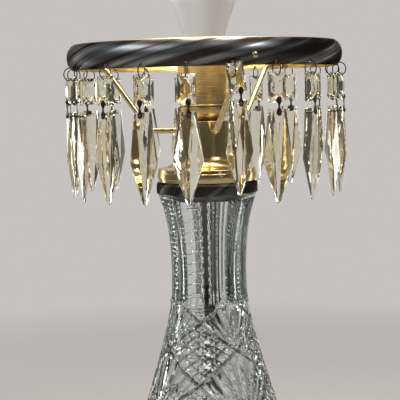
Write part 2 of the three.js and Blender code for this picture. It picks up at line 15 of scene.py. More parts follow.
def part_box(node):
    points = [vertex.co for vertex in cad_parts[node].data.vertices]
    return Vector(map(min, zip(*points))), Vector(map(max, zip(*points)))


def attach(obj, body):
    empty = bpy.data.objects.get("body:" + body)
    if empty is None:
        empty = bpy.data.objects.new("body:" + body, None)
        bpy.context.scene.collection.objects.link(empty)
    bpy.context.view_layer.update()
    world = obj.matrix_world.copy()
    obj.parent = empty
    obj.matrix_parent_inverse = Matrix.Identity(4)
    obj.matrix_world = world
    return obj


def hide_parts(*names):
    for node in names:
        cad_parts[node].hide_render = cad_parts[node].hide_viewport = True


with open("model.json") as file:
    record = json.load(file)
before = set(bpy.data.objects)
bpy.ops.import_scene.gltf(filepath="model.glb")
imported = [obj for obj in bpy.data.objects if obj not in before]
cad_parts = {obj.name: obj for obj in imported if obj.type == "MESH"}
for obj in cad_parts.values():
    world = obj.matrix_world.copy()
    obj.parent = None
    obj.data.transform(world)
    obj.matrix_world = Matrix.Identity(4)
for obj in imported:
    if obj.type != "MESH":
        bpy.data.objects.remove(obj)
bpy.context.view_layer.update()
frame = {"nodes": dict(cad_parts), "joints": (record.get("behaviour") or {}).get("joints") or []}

MM = 0.001
seat_gap = 0.3 * MM
to_front = Matrix.Rotation(math.pi / 2, 4, "X")
joints = {joint["name"]: joint for joint in frame["joints"]}
pendant_labels = sorted(name[-2:] for name in joints if name.startswith("swing_"))


# ---- objects and nodes


def in_scene(name, data):
    """An object of the data, linked into the scene"""
    made = bpy.data.objects.new(name, data)
    bpy.context.scene.collection.objects.link(made)
    return made


def feed(tree, socket, value):
    """Sets a socket to a value, or links what another node gives to it"""
    if isinstance(value, bpy.types.NodeSocket):
        tree.links.new(value, socket)
    else:
        socket.default_value = value


def calculated(tree, operation, *values, kind="ShaderNodeMath"):
    """What one operation gives for numbers, or for what other nodes give"""
    node = tree.nodes.new(kind)
    node.operation = operation
    for socket, value in zip(node.inputs, values):
        feed(tree, socket, value)
    return node.outputs["Value" if operation == "LENGTH" else 0]


def mixed(tree, share, first, second):
    """The first colour where the share is nothing, and the second where it is one"""
    node = tree.nodes.new("ShaderNodeMix")
    node.data_type = "RGBA"
    for name, value in (("Factor", share), ("A", first), ("B", second)):
        feed(tree, node.inputs[name], (*value, 1) if isinstance(value, tuple) else value)
    return node.outputs["Result"]


# ---- camera, stage and light

eye_distance = 1.0
eye_height = 0.385
aim_height = 0.2912
aim_side = -0.0064
lens_length = 103.8
camera_roll = math.radians(-1.3)

floor_radius = 4.0
floor_lit_radius = 0.45
floor_even_radius = 1.1
pale = (0.56, 0.54, 0.52)
room_light = (0.1, 0.105, 0.115)
lit_centre = Vector((0, 0, 0.3))

card_front, card_back = -1.6, 1.1
card_front_half, card_back_half = 1.7, 0.72
card_height = 2.0


def make_camera():
    camera = in_scene("camera", bpy.data.cameras.new("camera"))
    camera.data.sensor_width = 36
    camera.data.lens = lens_length
    eye = Vector((0, -eye_distance, eye_height))
    aim = Vector((aim_side, 0, aim_height)) - eye
    turn = aim.to_track_quat("-Z", "Y").to_matrix() @ Matrix.Rotation(camera_roll, 3, "Z")
    camera.matrix_world = Matrix.Translation(eye) @ turn.to_4x4()
    bpy.context.scene.camera = camera


def make_lamp(name, place, size, power, colour):
    light = bpy.data.lights.new(name, "AREA")
    light.shape = "RECTANGLE"
    light.size, light.size_y = size
    light.energy = power
    light.color = colour
    holder = in_scene(name, light)
    holder.location = place
    holder.rotation_euler = (lit_centre - Vector(place)).to_track_quat("-Z", "Y").to_euler()


def make_floor():
    """The floor is lit and shaded round the lamp, and an even pale further out"""
    bm = bmesh.new()
    bmesh.ops.create_circle(bm, cap_ends=True, segments=96, radius=floor_radius)
    mesh = mesh_from(bm, "floor")
    floor = in_scene("floor", mesh)
    mesh.materials.append(floor_paint())


def make_cards():
    """Dark cards at the sides, in front and above, which only the glass and the metal see"""
    plan = [
        (-card_back_half, card_back), (-card_front_half, card_front),
        (card_front_half, card_front), (card_back_half, card_back),
    ]
    corners = [(x, y, z) for z in (0, card_height) for x, y in plan]
    faces = [(0, 1, 5, 4), (1, 2, 6, 5), (2, 3, 7, 6), (4, 5, 6, 7)]
    mesh = bpy.data.meshes.new("dark_cards")
    mesh.from_pydata(corners, [], faces)
    cards = in_scene("dark_cards", mesh)
    mesh.materials.append(card_paint())
    cards.visible_camera = cards.visible_diffuse = cards.visible_shadow = False


def eye_rays(tree):
    """One for the rays of the eye and for those that metal and glass send on, nothing for the rest"""
    path = tree.nodes.new("ShaderNodeLightPath")
    seen = path.outputs["Is Camera Ray"]
    for name in ("Is Glossy Ray", "Is Transmission Ray"):
        seen = calculated(tree, "MAXIMUM", seen, path.outputs[name])
    return seen


def make_light():
    """Soft boxes, and a room that is pale to the eye and gives little light"""
    world = bpy.data.worlds.new("room")
    world.use_nodes = True
    tree = world.node_tree
    feed(tree, tree.nodes["Background"].inputs["Color"], mixed(tree, eye_rays(tree), room_light, pale))
    bpy.context.scene.world = world
    make_lamp("key", (-1.15, -0.75, 1.35), (0.55, 0.55), 16, (0.93, 0.97, 1.0))
    make_lamp("fill", (0.75, -0.95, 1.4), (0.5, 0.5), 9, (0.97, 0.98, 1.0))
    make_lamp("top", (0.05, 0.25, 1.5), (0.7, 0.7), 6, (1.0, 0.97, 0.94))
    make_lamp("left rim", (-0.8, 0.5, 0.45), (0.12, 0.9), 1.6, (1.0, 0.98, 0.95))
    make_lamp("right rim", (0.8, 0.5, 0.5), (0.12, 0.9), 1.6, (1.0, 0.96, 0.9))
    make_lamp("lamp glow", (0, 0, 0.62), (0.14, 0.14), 1.6, (1.0, 0.84, 0.55))
    bpy.context.scene.view_settings.view_transform = "Standard"


def light_all_but(lamp_name, piece_name):
    """The glow stands in for the globe's own light, so it falls on every piece but the globe"""
    kept_out = bpy.data.collections.new("kept out of the glow")
    kept_out.objects.link(bpy.data.objects[piece_name])
    kept_out.collection_objects[0].light_linking.link_state = "EXCLUDE"
    bpy.data.objects[lamp_name].light_linking.receiver_collection = kept_out


# ---- finishes


class Finish:
    """A surface finish: one shader, and the nodes that feed it"""

    def __init__(self, name, colour, roughness, metallic=0.0):
        self.material = bpy.data.materials.new(name)
        self.material.use_nodes = True
        self.tree = self.material.node_tree
        self.shader = self.tree.nodes["Principled BSDF"]
        self.output = self.tree.nodes["Material Output"]
        self.set(Base_Color=(*colour, 1), Roughness=roughness, Metallic=metallic)
        self.places = self.node("ShaderNodeTexCoord").outputs["Object"]

    def feed(self, socket, value):
        feed(self.tree, socket, value)

    def fill(self, node, inputs):
        for name, value in inputs.items():
            self.feed(node.inputs[name.replace("_", " ")], value)
        return node

    def node(self, kind, **inputs):
        return self.fill(self.tree.nodes.new(kind), inputs)

    def set(self, **inputs):
        """Sets or feeds inputs of the shader"""
        self.fill(self.shader, inputs)

    def height(self):
        return self.node("ShaderNodeSeparateXYZ", Vector=self.places).outputs["Z"]

    def twisted(self, radius, slant):
        """Places turned about the lamp's axis with height, so that level strokes come out slanted"""
        angle = calculated(self.tree, "MULTIPLY", self.height(), -1 / (radius * math.tan(slant)))
        turn = self.node("ShaderNodeVectorRotate", Vector=self.places, Angle=angle)
        turn.rotation_type = "Z_AXIS"
        return turn.outputs["Vector"]

    def stretched(self, scale, places=None):
        vector = self.places if places is None else places
        return self.node("ShaderNodeMapping", Vector=vector, Scale=scale).outputs[0]

    def noise(self, scale, detail=3.0, places=None):
        vector = self.places if places is None else places
        return self.node("ShaderNodeTexNoise", Vector=vector, Scale=scale, Detail=detail).outputs["Fac"]

    def ramp(self, value, low, high, out_low=0.0, out_high=1.0):
        node = self.node(
            "ShaderNodeMapRange", Value=value, From_Min=low, From_Max=high, To_Min=out_low, To_Max=out_high
        )
        return node.outputs["Result"]

    def mixed(self, share, first, second):
        return mixed(self.tree, share, first, second)

    def colour(self, value):
        self.set(Base_Color=value)

    def roughness(self, value):
        self.set(Roughness=value)

    def bump(self, height, strength, distance):
        node = self.node("ShaderNodeBump", Height=height, Strength=strength, Distance=distance)
        self.set(Normal=node.outputs["Normal"])


def floor_paint():
    finish = Finish("floor_paint", (0.56, 0.53, 0.51), 0.9)
    finish.colour(finish.mixed(finish.noise(3.0), (0.55, 0.52, 0.50), (0.57, 0.54, 0.52)))
    out = calculated(finish.tree, "LENGTH", finish.places, kind="ShaderNodeVectorMath")
    far = finish.ramp(out, floor_lit_radius, floor_even_radius)
    glow = finish.node("ShaderNodeEmission", Color=(*pale, 1), Strength=1.0)
    seen = calculated(finish.tree, "MULTIPLY", far, eye_rays(finish.tree))
    mix = finish.node("ShaderNodeMixShader", Fac=seen)
    finish.feed(mix.inputs[1], finish.shader.outputs[0])
    finish.feed(mix.inputs[2], glow.outputs[0])
    finish.feed(finish.output.inputs["Surface"], mix.outputs[0])
    return finish.material


def card_paint():
    finish = Finish("card_paint", (0.1, 0.11, 0.125), 0.9)
    finish.colour(finish.mixed(finish.noise(3.0), (0.09, 0.1, 0.115), (0.11, 0.12, 0.135)))
    return finish.material


def clear_glass(name, tint, ripple, deep_tint, density, cut_tint=None):
    """Polished glass with slight waves, whose tint deepens with the way that the light takes in it.
    Cut glass is tinted darker where it is cut deepest."""
    finish = Finish(name, tint, 0.02)
    finish.set(IOR=1.52, Transmission_Weight=1.0)
    finish.roughness(finish.ramp(finish.noise(140.0, 2.0), 0.45, 0.75, 0.015, 0.07))
    finish.bump(finish.noise(90.0, 2.0), 0.5, ripple)
    depth = finish.node("ShaderNodeVolumeAbsorption", Color=(*deep_tint, 1), Density=density)
    finish.feed(finish.output.inputs["Volume"], depth.outputs[0])
    if cut_tint:
        cut = finish.node("ShaderNodeAttribute")
        cut.attribute_name = "cut"
        finish.colour(finish.mixed(finish.ramp(cut.outputs["Fac"], 0.35, 1.0), tint, cut_tint))
    return finish.material


def dark_bronze():
    """Brown-black patina with painted highlights: bluish-grey streaks in slanting strokes round the piece,
    and a bright painted highlight along the top edge
    """
    finish = Finish("dark_bronze", (0.05, 0.04, 0.036), 0.35, 1.0)
    round_it = finish.twisted(ring_radius, stroke_slant)
    broad = finish.noise(1.0, 3.0, finish.stretched((38, 38, 7), round_it))
    fine = finish.noise(1.0, 2.0, finish.stretched((330, 330, 9), round_it))
    # bluish-grey painted highlight: streaks of reflected light painted into the colour where the broad
    # noise is high
    painted_highlight_streaks = finish.ramp(broad, 0.46, 0.66)
    dark = finish.mixed(painted_highlight_streaks, (0.04, 0.032, 0.029), (0.36, 0.385, 0.39))
    dark = finish.mixed(finish.ramp(fine, 0.4, 0.75, 0, 0.45), dark, (0.13, 0.12, 0.11))
    # painted highlight: the top edge is painted pale and stands for the bulb's light catching the lip
    edge = finish.ramp(finish.height(), ring_top - 0.7 * MM, ring_top - 0.1 * MM)
    finish.colour(finish.mixed(edge, dark, (0.5, 0.44, 0.37)))
    finish.roughness(finish.ramp(broad, 0.3, 0.7, 0.5, 0.3))
    finish.bump(fine, 0.3, 0.0002)
    finish.set(Specular_Tint=(0.25, 0.24, 0.24, 1))
    return finish.material


def aged_brass(name, bright, dull, brushing, roughness, lined=0.15, clouded=1.0):
    """Brass with brushed lines across the turning axis and brown age in clouds"""
    finish = Finish(name, bright, 0.3, 1.0)
    cloud = finish.noise(32.0, 5.0)
    lines = finish.noise(1.0, 3.0, finish.stretched(brushing))
    worn = finish.mixed(finish.ramp(cloud, 0.42, 0.72, 0, clouded), bright, dull)
    finish.colour(finish.mixed(finish.ramp(lines, 0.5, 0.78, 0, lined), worn, dull))
    finish.roughness(finish.ramp(lines, 0.3, 0.75, *roughness))
    finish.bump(cloud, 0.2, 0.0003)
    return finish.material


def plain_metal(name, colour, spots, roughness):
    """Plated or blackened sheet and wire, mottled at a fine scale"""
    finish = Finish(name, colour, roughness, 1.0)
    finish.colour(finish.mixed(finish.ramp(finish.noise(210.0, 4.0), 0.4, 0.7), colour, spots))
    finish.roughness(finish.ramp(finish.noise(160.0, 2.0), 0.35, 0.7, roughness * 0.7, roughness * 1.4))
    finish.bump(finish.noise(900.0, 2.0), 0.3, 0.0001)
    return finish.material


def moulded_plastic(name, colour, shade, roughness):
    finish = Finish(name, colour, roughness)
    finish.colour(finish.mixed(finish.ramp(finish.noise(18.0, 2.0), 0.3, 0.7), colour, shade))
    finish.roughness(finish.ramp(finish.noise(240.0, 2.0), 0.3, 0.7, roughness * 0.8, roughness * 1.2))
    finish.bump(finish.noise(1400.0, 1.0), 0.12, 0.0001)
    return finish.material


def blackened_pipe():
    """Steel pipe, near black in the neck and greyer further down"""
    finish = Finish("pipe_black", (0.02, 0.02, 0.02), 0.75)
    share = finish.ramp(finish.height(), 0.17, 0.2)
    dull = finish.mixed(finish.noise(60.0), (0.26, 0.25, 0.235), (0.17, 0.15, 0.13))
    black = finish.mixed(finish.noise(90.0), (0.008, 0.008, 0.008), (0.025, 0.02, 0.017))
    finish.colour(finish.mixed(share, dull, black))
    return finish.material


def green_felt():
    finish = Finish("green_felt", (0.05, 0.085, 0.055), 0.95)
    fibres = finish.noise(1300.0, 5.0)
    finish.colour(finish.mixed(finish.ramp(fibres, 0.3, 0.75), (0.03, 0.055, 0.035), (0.09, 0.13, 0.09)))
    finish.bump(fibres, 0.8, 0.0005)
    finish.set(Sheen_Weight=0.4)
    return finish.material


def lit_globe():
    """A frosted diffuser with the light on behind it, a little warmer in clouds"""
    finish = Finish("lit_globe", (0.72, 0.66, 0.58), 0.5)
    share = finish.ramp(finish.noise(30.0, 2.0), 0.3, 0.7)
    glow = finish.mixed(share, (1.0, 0.74, 0.46), (1.0, 0.79, 0.52))
    finish.set(Emission_Color=glow, Emission_Strength=0.25)
    return finish.material


# ---- making pieces


def piece(name, mesh, material, body, replaced=(), sharp=35):
    """Links a finished mesh as a piece of the lamp that rides on a body"""
    mesh.shade_smooth()
    mesh.set_sharp_from_angle(angle=math.radians(sharp))
    made = in_scene(name, mesh)
    mesh.materials.clear()
    mesh.materials.append(material)
    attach(made, body)
    if replaced:
        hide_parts(*replaced)


def mesh_from(bm, name):
    bmesh.ops.recalc_face_normals(bm, faces=bm.faces)
    mesh = bpy.data.meshes.new(name)
    bm.to_mesh(mesh)
    bm.free()
    return mesh


def arc(centre, radius, start, end, steps):
    """Points of an arc in the profile plane, with its angles in degrees from the outward side"""
    angles = [math.radians(start + (end - start) * step / steps) for step in range(steps + 1)]
    return [(centre[0] + radius * math.cos(a), centre[1] + radius * math.sin(a)) for a in angles]


def quarter_oval(start, end, steps):
    """Points of a quarter of an oval in the profile plane, level at its start and upright at its end"""
    wide, high = end[0] - start[0], end[1] - start[1]
    angles = [math.pi / 2 * step / steps for step in range(steps + 1)]
    return [(start[0] + wide * math.sin(a), end[1] - high * math.cos(a)) for a in angles]


def bend(before, corner, after, cut, steps):
    """Points of the curve that rounds a corner, from a cut's length before it to as far behind it"""
    enter = corner + (before - corner).normalized() * cut
    leave = corner + (after - corner).normalized() * cut
    shares = [step / steps for step in range(steps + 1)]
    return [enter * (1 - t) ** 2 + corner * 2 * t * (1 - t) + leave * t**2 for t in shares]


def softened(profile, radius, steps=3):
    """The closed profile with each of its corners rounded, as far as its sides allow"""
    soft = []
    for i, corner in enumerate(profile):
        here = Vector(corner)
        before, after = Vector(profile[i - 1]), Vector(profile[(i + 1) % len(profile)])
        cut = min(radius, (before - here).length * 0.45, (after - here).length * 0.45)
        straight = (before - here).angle(after - here, math.pi) > math.radians(165)
        if here.x < 1e-6 or straight:
            soft.append(corner)
        else:
            soft += [(point.x, point.y) for point in bend(before, here, after, cut, steps)]
    return soft


def turns(count):
    """The angles of so many even steps of one turn"""
    return [2 * math.pi * step / count for step in range(count)]


def bridge(bm, rings):
    """Faces from each ring of points to the next: a point that a ring repeats is used once a face"""
    for ring, following in rings:
        for i, corner in enumerate(ring):
            beside = (i + 1) % len(ring)
            corners = list(dict.fromkeys((corner, ring[beside], following[beside], following[i])))
            if len(corners) > 2:
                bm.faces.new(corners)


def turned_mesh(name, profile, columns=96):
    """A closed profile of radius and height, turned about the Z axis"""
    bm = bmesh.new()
    rings = []
    for radius, height in profile:
        if radius < 1e-6:
            rings.append([bm.verts.new((0, 0, height))] * columns)
            continue
        places = [(radius * math.sin(a), -radius * math.cos(a), height) for a in turns(columns)]
        rings.append([bm.verts.new(place) for place in places])
    bridge(bm, zip(rings, rings[1:] + rings[:1]))
    return mesh_from(bm, name)


def swept_mesh(name, path, radius, sides):
    """A round bar along a path of points, with flat ends"""
    bm = bmesh.new()
    rings = []
    across = None
    for i, place in enumerate(path):
        ahead = (path[min(i + 1, len(path) - 1)] - path[max(i - 1, 0)]).normalized()
        if across is None:
            across = ahead.orthogonal().normalized()
        across = (across - ahead * across.dot(ahead)).normalized()
        up = ahead.cross(across)
        spokes = [across * math.cos(a) + up * math.sin(a) for a in turns(sides)]
        rings.append([bm.verts.new(place + radius * spoke) for spoke in spokes])
    bridge(bm, zip(rings, rings[1:]))
    bm.faces.new(rings[0])
    bm.faces.new(rings[-1])
    return mesh_from(bm, name)


def hull_mesh(name, corners, bevel):
    """The convex solid over the corners, with a fine flat ground along each edge"""
    bm = bmesh.new()
    for corner in corners:
        bm.verts.new(corner)
    bmesh.ops.convex_hull(bm, input=bm.verts)
    loose = [v for v in bm.verts if not v.link_faces]
    bmesh.ops.delete(bm, geom=loose, context="VERTS")
    bmesh.ops.dissolve_limit(bm, angle_limit=math.radians(1), verts=bm.verts, edges=bm.edges)
    bmesh.ops.bevel(
        bm, geom=bm.edges[:], offset=bevel, segments=1, profile=0.5, affect="EDGES", clamp_overlap=True
    )
    return mesh_from(bm, name)


def joined_mesh(name, meshes):
    bm = bmesh.new()
    for mesh in meshes:
        bm.from_mesh(mesh)
    joined = bpy.data.meshes.new(name)
    bm.to_mesh(joined)
    bm.free()
    return joined


def applied(holder):
    """The object's mesh as its modifiers leave it, as plain data"""
    bpy.context.view_layer.update()
    return bpy.data.meshes.new_from_object(holder.evaluated_get(bpy.context.evaluated_depsgraph_get()))


def cut_mesh(mesh, cutter, solver="EXACT"):
    """The mesh with the cutter's space taken out of it"""
    whole, tool = in_scene("whole", mesh), in_scene("cutter", cutter)
    cut = whole.modifiers.new("cut", "BOOLEAN")
    cut.operation, cut.object, cut.solver = "DIFFERENCE", tool, solver
    done = applied(whole)
    bpy.data.objects.remove(whole)
    bpy.data.objects.remove(tool)
    return done


def moved(mesh, matrix):
    copy = mesh.copy()
    copy.transform(matrix)
    return copy


def bar_mesh(name, radius, start, end, sides):
    return swept_mesh(name, [Vector(start), Vector(end)], radius, sides)


def grown_mesh(mesh, tree, values):
    """The mesh that a node tree makes of a base, with a value for each of the tree's named inputs"""
    base = in_scene("base", mesh)
    grow = base.modifiers.new("grow", "NODES")
    grow.node_group = tree
    for item in tree.interface.items_tree:
        if item.name in values:
            grow[item.identifier] = values[item.name]
    done = applied(base)
    base.modifiers.clear()
    bpy.data.objects.remove(base)
    return done


def begun_tree(name, sizes, finish):
    """A node tree that takes a base, a number for each size and a finish, and its first node"""
    tree = bpy.data.node_groups.new(name, "GeometryNodeTree")
    floats = [(size, "Float") for size in sizes]
    for socket, kind in (("Geometry", "Geometry"), *floats, (finish, "Material")):
        tree.interface.new_socket(socket, in_out="INPUT", socket_type="NodeSocket" + kind)
    tree.interface.new_socket("Geometry", in_out="OUTPUT", socket_type="NodeSocketGeometry")
    return tree, tree.nodes.new("NodeGroupInput")


def end_tree(tree, shape, finish):
    """Makes instances real, sets the finish and gives the shape out"""
    real = tree.nodes.new("GeometryNodeRealizeInstances")
    coat = tree.nodes.new("GeometryNodeSetMaterial")
    leave = tree.nodes.new("NodeGroupOutput")
    feed(tree, real.inputs[0], shape)
    feed(tree, coat.inputs["Geometry"], real.outputs[0])
    feed(tree, coat.inputs["Material"], finish)
    feed(tree, leave.inputs[0], coat.outputs[0])


def out_from_axis(tree):
    """The line from the lamp's axis to each point, at the point's own height"""
    place = tree.nodes.new("GeometryNodeInputPosition").outputs[0]
    return calculated(tree, "MULTIPLY", place, (1, 1, 0), kind="ShaderNodeVectorMath")


def drilling_tree():
    """A bar through each point of the base, lying along the line out from the lamp's axis"""
    tree, enter = begun_tree("Drilled holes", ("Hole radius", "Drill length"), "Metal")
    drill = tree.nodes.new("GeometryNodeMeshCylinder")
    drill.inputs["Vertices"].default_value = drill_sides
    turn = tree.nodes.new("FunctionNodeAlignRotationToVector")
    turn.axis = "Z"
    spread = tree.nodes.new("GeometryNodeInstanceOnPoints")
    feed(tree, drill.inputs["Radius"], enter.outputs["Hole radius"])
    feed(tree, drill.inputs["Depth"], enter.outputs["Drill length"])
    feed(tree, turn.inputs["Vector"], out_from_axis(tree))
    feed(tree, spread.inputs["Points"], enter.outputs["Geometry"])
    feed(tree, spread.inputs["Instance"], drill.outputs["Mesh"])
    feed(tree, spread.inputs["Rotation"], turn.outputs["Rotation"])
    end_tree(tree, spread.outputs[0], enter.outputs["Metal"])
    return tree


def drilled_mesh(mesh, places, radius, length, metal):
    """The mesh with a round hole at each of the places, towards the lamp's axis"""
    points = bpy.data.meshes.new("places")
    points.from_pydata(places, [], [])
    values = {"Hole radius": radius, "Drill length": length, "Metal": metal}
    return cut_mesh(mesh, grown_mesh(points, drilling, values))


# ---- the gallery ring

ring_low, ring_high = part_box("gallery_ring")
ring_radius = ring_high.x
ring_bottom, ring_top = ring_low.z, ring_high.z
ring_wall = 1.0 * MM
ring_bottom_inset = 5.0 * MM
ring_top_inset = 6.0 * MM
ring_fullness = 0.9
ring_lip = 5.0 * MM
hook_hole_radius = 0.95 * MM
band_drill = 12.0 * MM
drill_sides = 16
rivet_height = 7.8 * MM
rivet_radius = 1.5 * MM
rivet_head_radius = 2.7 * MM
rivet_head_height = 1.3 * MM
rivet_head_grip = 0.4 * MM
stroke_slant = math.radians(14)
arm_azimuths = {"front": (10, 19.5), "right": (140, 140), "left": (-100, -100)}


def band_radius(height):
    """Radius of the band's outside: an ellipse that is fullest halfway up"""
    share = 2 * (height - ring_bottom) / (ring_top - ring_bottom) - 1
    inset = ring_bottom_inset if share < 0 else ring_top_inset

    def fall(at):
        return 1 - math.sqrt(max(0, 1 - (at * ring_fullness) ** 2))

    return ring_radius - inset * fall(share) / fall(1)


def around(azimuth, radius, height):
    """A place in the lamp at an azimuth in degrees from the front, a radius and a height"""
    angle = math.radians(azimuth)
    return Vector((radius * math.sin(angle), -radius * math.cos(angle), height))


def make_gallery_ring():
    steps = 22
    levels = [ring_bottom + (ring_top - ring_bottom) * step / steps for step in range(steps + 1)]
    outside = [(band_radius(level), level) for level in levels]
    lip = band_radius(ring_top) - ring_lip
    under = ring_top - ring_wall
    inside = [(band_radius(level) - ring_wall, level) for level in levels if level < under]
    inner = [(lip, ring_top), (lip, under), (band_radius(under) - ring_wall, under)]
    profile = softened([*outside, *inner, *reversed(inside)], 0.35 * MM)
    band = turned_mesh("band", profile, 180)
    hooks = []
    for label in pendant_labels:
        place = Vector(joints["swing_" + label]["pos_m"])
        out = Vector((place.x, place.y, 0)).normalized() * (ring_radius - band_drill / 4)
        hooks.append((out.x, out.y, place.z + loop_radius))
    band = drilled_mesh(band, hooks, hook_hole_radius, band_drill, bronze)
    level, drill_at = ring_bottom + rivet_height, ring_radius - band_drill / 4
    rivets = [around(azimuth, drill_at, level) for _, azimuth in arm_azimuths.values()]
    band = drilled_mesh(band, rivets, rivet_radius + seat_gap, band_drill, bronze)
    piece("gallery_band", band, bronze, "lamp", ["gallery_ring"], 40)
    band.materials.append(ring_brass)
    for face in band.polygons:
        out = Vector((face.center.x, face.center.y, 0)).normalized()
        if face.normal.dot(out) < -0.1 or face.normal.z < -0.9:
            face.material_index = 1


# ---- cap, husk and arms

husk_low, husk_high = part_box("husk")
husk_bottom, husk_top = husk_low.z, husk_high.z
vase_cap_height, vase_cap_wall = 9.6 * MM, 2.5 * MM
plug_radius, plug_wall = 34.2 * MM, 3 * MM
husk_wall = 1.6 * MM
husk_radius = 25.5 * MM
husk_bell_radius = 39.4 * MM
husk_bell_height = 24.7 * MM
husk_foot_radius = husk_high.x
husk_foot_height = 11.0 * MM
husk_step = 0.7 * MM
husk_step_height = 2.6 * MM
husk_band_height = 5.2 * MM
pipe_hole = 5.15 * MM
husk_drill = 10.0 * MM
arm_drop = 8.0 * MM
arm_radius = 2.4 * MM
arm_root = 2.3 * MM
arm_reach = 49.0 * MM
arm_shoulder = 88.0 * MM
arm_end = 105.0 * MM
arm_bend = 5.0 * MM
arm_below_rivet = 6.0 * MM


def make_vase_cap():
    low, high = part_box("vase_cap")
    radius, top = high.x, high.z
    seat = husk_bottom - seat_gap - vase_cap_height
    shoulder = top - vase_cap_wall
    profile = [
        (pipe_hole, shoulder),
        (plug_radius - plug_wall, shoulder),
        (plug_radius - plug_wall, low.z),
        (plug_radius, low.z),
        (plug_radius, seat),
        (radius, seat),
        *arc((radius - vase_cap_wall, shoulder), vase_cap_wall, 0, 90, 8),
        (pipe_hole, top),
    ]
    cap = turned_mesh("vase_cap_turned", softened(profile, 0.4 * MM), 128)
    piece("vase_cap_turned", cap, bronze, "lamp", ["vase_cap"])


def husk_bell(inset, steps):
    start = (husk_bell_radius, husk_bottom + husk_foot_height + husk_step - inset)
    return quarter_oval(start, (husk_radius - inset, husk_bottom + husk_bell_height), steps)


def make_husk():
    step_radius = husk_foot_radius - husk_step
    step_level = husk_bottom + husk_step_height
    upper_step = step_level + husk_band_height
    profile = [
        (step_radius - husk_wall, husk_bottom),
        (step_radius, husk_bottom),
        (step_radius, step_level),
        (husk_foot_radius, step_level),
        (husk_foot_radius, upper_step),
        (step_radius, upper_step),
        (step_radius, husk_bottom + husk_foot_height),
        *husk_bell(0, 20),
        (husk_radius, husk_top),
        (pipe_hole, husk_top),
        (pipe_hole, husk_top - husk_wall),
        (husk_radius - husk_wall, husk_top - husk_wall),
        *reversed(husk_bell(husk_wall, 12)),
    ]
    level = husk_top - arm_drop
    places = [around(azimuth, husk_radius, level) for azimuth, _ in arm_azimuths.values()]
    husk = turned_mesh("husk_turned", softened(profile, 0.45 * MM), 128)
    husk = drilled_mesh(husk, places, arm_radius + seat_gap, husk_drill, husk_brass)
    piece("husk_turned", husk, husk_brass, "lamp", ["husk"])


def bent_path(places, radius):
    """Straight runs joined by rounded bends"""
    corners = zip(places, places[1:], places[2:])
    bends = [point for corner in corners for point in bend(*corner, radius, 8)]
    return [places[0], *bends, places[-1]]


def make_arm(side, hub_azimuth, ring_azimuth):
    level = husk_top - arm_drop
    rivet_level = ring_bottom + rivet_height
    run = rivet_level - arm_below_rivet
    seat = band_radius(rivet_level - arm_radius) - ring_wall - 2 * seat_gap
    places = [
        around(hub_azimuth, pipe_hole + arm_root, level),
        around(hub_azimuth, arm_reach, level),
        around(ring_azimuth, arm_shoulder, run),
        around(ring_azimuth, arm_end, run),
        around(ring_azimuth, seat - arm_radius, rivet_level),
    ]
    bar = swept_mesh("arm_bar", bent_path(places, arm_bend), arm_radius, 20)
    outside = band_radius(rivet_level) + seat_gap

    def level_bar(name, radius, start, end, sides):
        ends = [around(ring_azimuth, reach, rivet_level) for reach in (start, end)]
        return bar_mesh(name, radius, *ends, sides)

    shank = level_bar("shank", rivet_radius, seat - 2 * arm_radius, outside + rivet_head_grip, 16)
    block = level_bar("block", arm_radius, seat - 2.4 * arm_radius, seat, 20)
    dome = [(0, 0), *arc((0, 0), rivet_head_radius, 0, 90, 6)]
    head = turned_mesh("head", dome, 24)
    head.transform(Matrix.Diagonal((1, 1, rivet_head_height / rivet_head_radius, 1)))
    place = Matrix.Translation(around(ring_azimuth, outside, rivet_level))
    facing = Matrix.Rotation(math.radians(ring_azimuth), 4, "Z")
    head.transform(place @ facing @ to_front)
    arm = joined_mesh(f"arm_{side}_bent", [bar, shank, block, head])
    piece(f"arm_{side}_bent", arm, rod_brass, "lamp", [f"arm_{side}"])


# ---- socket and bulb


def wave(count):
    """From nothing up to one and back, once for each whole count"""
    return 0.5 - 0.5 * math.cos(2 * math.pi * count)


def make_socket():
    cap_low, cap_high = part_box("socket_cap")
    cap_radius, cap_foot, wall = cap_high.x, 11 * MM, 0.9 * MM

    def cup(inset, steps):
        start = (cap_foot - inset, cap_low.z + inset)
        return quarter_oval(start, (cap_radius - inset, cap_high.z), steps)

    dome = [(pipe_hole, cap_low.z), *cup(0, 20), *reversed(cup(wall, 14)), (pipe_hole, cap_low.z + wall)]
    cap = turned_mesh("socket_cap_turned", softened(dome, 0.25 * MM))
    piece("socket_cap_turned", cap, socket_brass, "lamp", ["socket_cap"])

    shell_low, shell_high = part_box("socket_shell")
    bottom, top = cap_high.z + seat_gap, shell_high.z
    neck_outer = cap_radius - wall - 2 * seat_gap
    roll, roll_height, top_radius = 0.6 * MM, 3 * MM, shell_high.x - 0.6 * MM
    low_band, high_band = bottom + 2 * roll_height, top - roll_height
    ribs = []
    rib_count, rib_steps, rib_depth = 26, 4, 0.16 * MM
    for step in range(rib_count * rib_steps + 1):
        share = step / (rib_count * rib_steps)
        radius = cap_radius + (top_radius - cap_radius) * share + rib_depth * wave(rib_count * share)
        ribs.append((radius, low_band + (high_band - low_band) * share))
    shell = [
        (neck_outer - wall, shell_low.z),
        (neck_outer, shell_low.z),
        (neck_outer, bottom),
        *arc((cap_radius - 0.1 * MM, bottom + roll_height / 2), 0.7 * MM, -90, 90, 8),
        (cap_radius, bottom + roll_height),
        *ribs,
        *arc((top_radius, top - roll_height / 2), roll, -90, 90, 8),
        (top_radius, top),
        (top_radius - wall, top),
        (top_radius - wall, high_band),
        (cap_radius - wall, low_band),
        (neck_outer - wall, low_band - roll_height / 2),
    ]
    made = turned_mesh("socket_shell_ribbed", shell, 120)
    piece("socket_shell_ribbed", made, socket_brass, "lamp", ["socket_shell"], 50)


